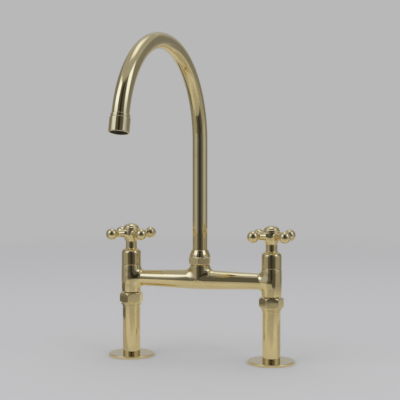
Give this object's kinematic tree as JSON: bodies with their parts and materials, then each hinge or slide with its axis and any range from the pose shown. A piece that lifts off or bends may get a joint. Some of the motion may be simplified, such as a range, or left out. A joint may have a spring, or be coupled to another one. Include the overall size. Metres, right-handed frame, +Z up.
{
  "type": "bridge kitchen faucet",
  "caption": "Bridge faucet in polished brass: two legs on round flanges, a cast bridge with two valve bodies, ball-ended cross handles and a tall swan-neck spout that swivels.",
  "frame": {"origin": "on the deck, midway between the axes of the two legs", "axes": "+X along the bridge to the right-hand leg, -Y to the person at the sink, +Z up"},
  "size_m": [0.2636, 0.2878, 0.4322],
  "materials": {
    "polished_brass": "polished, unlacquered",
    "plain_brass": "machined",
    "black_rubber": "matte",
    "white_ceramic": "lapped ceramic",
    "white_plastic": "moulded",
    "grey_plastic": "moulded",
    "steel": "turned"
  },
  "bodies": {
    "fixed": {"bridge_body": "polished_brass", "deck_flange_left": "polished_brass", "deck_flange_right": "polished_brass", "leg_tube_left": "polished_brass", "leg_tube_right": "polished_brass", "leg_end_bush_left": "plain_brass", "leg_end_bush_right": "plain_brass", "union_washer_left": "black_rubber", "union_washer_right": "black_rubber", "union_tail_left": "plain_brass", "union_tail_right": "plain_brass", "union_nut_left": "polished_brass", "union_nut_right": "polished_brass", "valve_seat_seal_left": "black_rubber", "valve_seat_seal_right": "black_rubber", "valve_cartridge_left": "plain_brass", "valve_cartridge_right": "plain_brass", "valve_disc_fixed_left": "white_ceramic", "valve_disc_fixed_right": "white_ceramic", "bonnet_left": "polished_brass", "bonnet_right": "polished_brass", "spout_nut": "polished_brass", "spout_glide_ring": "white_plastic"},
    "spout": {"spout_tube": "polished_brass", "spout_spigot": "plain_brass", "spout_ring_lower": "black_rubber", "spout_ring_upper": "black_rubber", "outlet_collar": "polished_brass", "aerator_housing": "polished_brass", "aerator_washer": "black_rubber", "aerator_insert": "grey_plastic"},
    "handle_left": {"cross_handle_left": "polished_brass", "handle_cap_left": "polished_brass", "handle_screw_left": "steel", "valve_spindle_left": "plain_brass", "spindle_ring_left": "black_rubber", "valve_disc_turning_left": "white_ceramic"},
    "handle_right": {"cross_handle_right": "polished_brass", "handle_cap_right": "polished_brass", "handle_screw_right": "steel", "valve_spindle_right": "plain_brass", "spindle_ring_right": "black_rubber", "valve_disc_turning_right": "white_ceramic"}
  },
  "joints": [
    {"name": "spout_swivel", "type": "hinge", "parent": "fixed", "child": "spout", "pos_m": [0, 0, 0.14], "axis": [0, 0, 1], "continuous": true},
    {"name": "handle_left_turn", "type": "hinge", "parent": "fixed", "child": "handle_left", "pos_m": [-0.1, 0, 0.16], "axis": [0, 0, 1], "range_deg": [0, 90]},
    {"name": "handle_right_turn", "type": "hinge", "parent": "fixed", "child": "handle_right", "pos_m": [0.1, 0, 0.16], "axis": [0, 0, 1], "range_deg": [-90, 0]}
  ]
}
